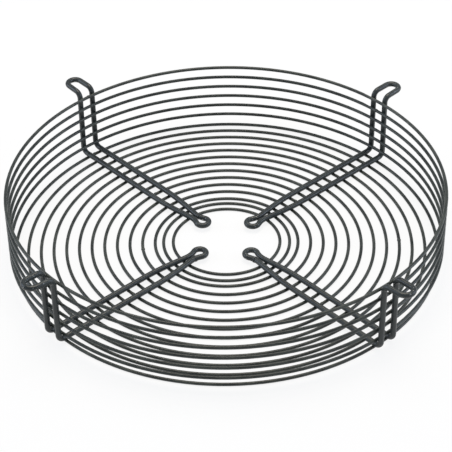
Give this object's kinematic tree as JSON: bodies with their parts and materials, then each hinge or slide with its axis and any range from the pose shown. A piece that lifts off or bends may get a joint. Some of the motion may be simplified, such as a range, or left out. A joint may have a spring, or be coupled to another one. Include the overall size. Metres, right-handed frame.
{
  "type": "wire fan guard",
  "caption": "Round basket guard for an axial fan, welded from coated steel wire: concentric rings on folded arms that end in eyes for the motor and rim screws.",
  "frame": {"origin": "on the fan axis, at the underside of the floor rings that the guard stands on", "axes": "+Z along the fan axis, from the floor rings towards the open side and the flange eyes; the arms lie at 45 degrees to +X and +Y"},
  "size_m": [0.4102, 0.4102, 0.0785],
  "materials": {
    "ring_wire": "satin powder coat, charcoal with a slight green tint",
    "arm_wire": "satin powder coat, charcoal"
  },
  "bodies": {
    "root": {"hub_ring_1": "ring_wire", "hub_ring_2": "ring_wire", "floor_ring_1": "ring_wire", "floor_ring_2": "ring_wire", "floor_ring_3": "ring_wire", "floor_ring_4": "ring_wire", "floor_ring_5": "ring_wire", "floor_ring_6": "ring_wire", "floor_ring_7": "ring_wire", "floor_ring_8": "ring_wire", "floor_ring_9": "ring_wire", "floor_ring_10": "ring_wire", "floor_ring_11": "ring_wire", "floor_ring_12": "ring_wire", "wall_ring_1": "ring_wire", "wall_ring_2": "ring_wire", "wall_ring_3": "ring_wire", "wall_ring_4": "ring_wire", "wall_ring_5": "ring_wire", "wall_ring_6": "ring_wire", "arm_1": "arm_wire", "arm_2": "arm_wire", "arm_3": "arm_wire", "arm_4": "arm_wire"}
  },
  "joints": []
}
